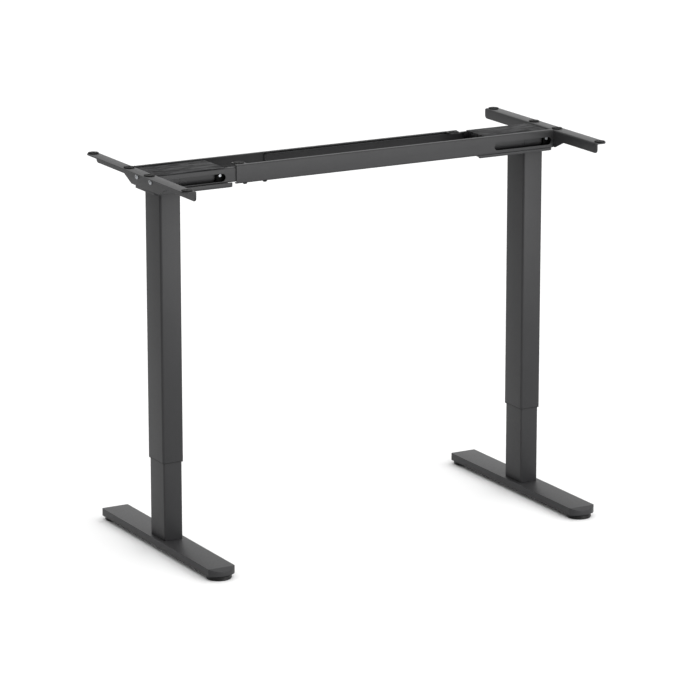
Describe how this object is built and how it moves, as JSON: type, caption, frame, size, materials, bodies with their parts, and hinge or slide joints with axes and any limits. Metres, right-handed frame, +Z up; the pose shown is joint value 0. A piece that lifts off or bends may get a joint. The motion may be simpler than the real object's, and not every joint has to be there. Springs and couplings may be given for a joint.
{
  "type": "height adjustable desk frame",
  "caption": "Two-column height adjustable desk frame: telescoping steel columns on bar feet, sliding channel rails, side brackets with rubber pads, no desktop.",
  "frame": {"origin": "on the floor, midway between the two columns", "axes": "+X along the frame from the left column to the right one, -Y to the front, +Z up"},
  "size_m": [1.16, 0.6, 0.9314],
  "materials": {
    "coated_steel": "charcoal powder coat, satin",
    "textured_cover": "dark grey coat with fine streaks along the frame",
    "zinc_steel": "zinc plated",
    "motor_can": "dark grey paint on a die-cast housing",
    "black_nylon": "moulded, matte",
    "black_screw": "black oxide",
    "rubber_pad": "matte",
    "glide_plastic": "moulded, satin"
  },
  "bodies": {
    "left_base": {"left_foot": "coated_steel", "left_column_base": "coated_steel", "left_inner_column": "coated_steel", "left_nut_tube": "zinc_steel", "left_screw_nut": "black_nylon", "left_top_bush": "black_nylon"},
    "left_upper": {"left_outer_column": "coated_steel", "left_mouth_bush": "black_nylon", "left_head_saddle": "coated_steel", "left_gearbox": "motor_can", "left_motor": "motor_can", "left_motor_cover": "textured_cover", "left_side_bracket": "coated_steel", "left_long_rail": "coated_steel", "left_short_rail": "coated_steel", "left_top_pad_1": "rubber_pad", "left_top_pad_2": "rubber_pad", "left_top_pad_3": "rubber_pad", "left_top_pad_4": "rubber_pad", "left_rail_end_pad": "rubber_pad", "left_bracket_bolt_1": "zinc_steel", "left_bracket_bolt_2": "zinc_steel", "left_lock_screw_1": "black_screw", "left_lock_screw_2": "black_screw", "left_cover_screw_1": "zinc_steel", "left_cover_screw_2": "zinc_steel"},
    "left_drive_screw": {"left_lead_screw": "zinc_steel"},
    "left_front_foot_glide": {"left_front_glide": "glide_plastic"},
    "left_rear_foot_glide": {"left_rear_glide": "glide_plastic"},
    "right_base": {"right_foot": "coated_steel", "right_column_base": "coated_steel", "right_inner_column": "coated_steel", "right_nut_tube": "zinc_steel", "right_screw_nut": "black_nylon", "right_top_bush": "black_nylon"},
    "right_upper": {"right_outer_column": "coated_steel", "right_mouth_bush": "black_nylon", "right_head_saddle": "coated_steel", "right_gearbox": "motor_can", "right_motor": "motor_can", "right_motor_cover": "textured_cover", "right_side_bracket": "coated_steel", "right_long_rail": "coated_steel", "right_short_rail": "coated_steel", "right_top_pad_1": "rubber_pad", "right_top_pad_2": "rubber_pad", "right_top_pad_3": "rubber_pad", "right_top_pad_4": "rubber_pad", "right_rail_end_pad": "rubber_pad", "right_bracket_bolt_1": "zinc_steel", "right_bracket_bolt_2": "zinc_steel", "right_lock_screw_1": "black_screw", "right_lock_screw_2": "black_screw", "right_cover_screw_1": "zinc_steel", "right_cover_screw_2": "zinc_steel"},
    "right_drive_screw": {"right_lead_screw": "zinc_steel"},
    "right_front_foot_glide": {"right_front_glide": "glide_plastic"},
    "right_rear_foot_glide": {"right_rear_glide": "glide_plastic"}
  },
  "joints": [
    {"name": "lift_left", "type": "slide", "parent": "left_base", "child": "left_upper", "axis": [0, 0, 1], "range_m": [-0.185, 0.275]},
    {"name": "frame_width", "type": "slide", "parent": "left_upper", "child": "right_upper", "axis": [1, 0, 0], "range_m": [0, 0.4]},
    {"name": "lift_right", "type": "slide", "parent": "right_upper", "child": "right_base", "axis": [0, 0, -1], "range_m": [-0.185, 0.275]},
    {"name": "left_screw_turn", "type": "hinge", "parent": "left_upper", "child": "left_drive_screw", "pos_m": [-0.5, 0, 0.88], "axis": [0, 0, 1], "range_deg": [-6665, 9905]},
    {"name": "right_screw_turn", "type": "hinge", "parent": "right_upper", "child": "right_drive_screw", "pos_m": [0.5, 0, 0.88], "axis": [0, 0, 1], "range_deg": [-6665, 9905]},
    {"name": "left_front_glide_height", "type": "slide", "parent": "left_base", "child": "left_front_foot_glide", "axis": [0, 0, -1], "range_m": [0, 0.01]},
    {"name": "left_rear_glide_height", "type": "slide", "parent": "left_base", "child": "left_rear_foot_glide", "axis": [0, 0, -1], "range_m": [0, 0.01]},
    {"name": "right_front_glide_height", "type": "slide", "parent": "right_base", "child": "right_front_foot_glide", "axis": [0, 0, -1], "range_m": [0, 0.01]},
    {"name": "right_rear_glide_height", "type": "slide", "parent": "right_base", "child": "right_rear_foot_glide", "axis": [0, 0, -1], "range_m": [0, 0.01]}
  ],
  "couplings": [
    {"joint": "lift_right", "follows": "lift_left", "ratio": 1},
    {"joint": "left_screw_turn", "follows": "lift_left", "rad_per_m": 628.32},
    {"joint": "right_screw_turn", "follows": "lift_left", "rad_per_m": 628.32}
  ]
}
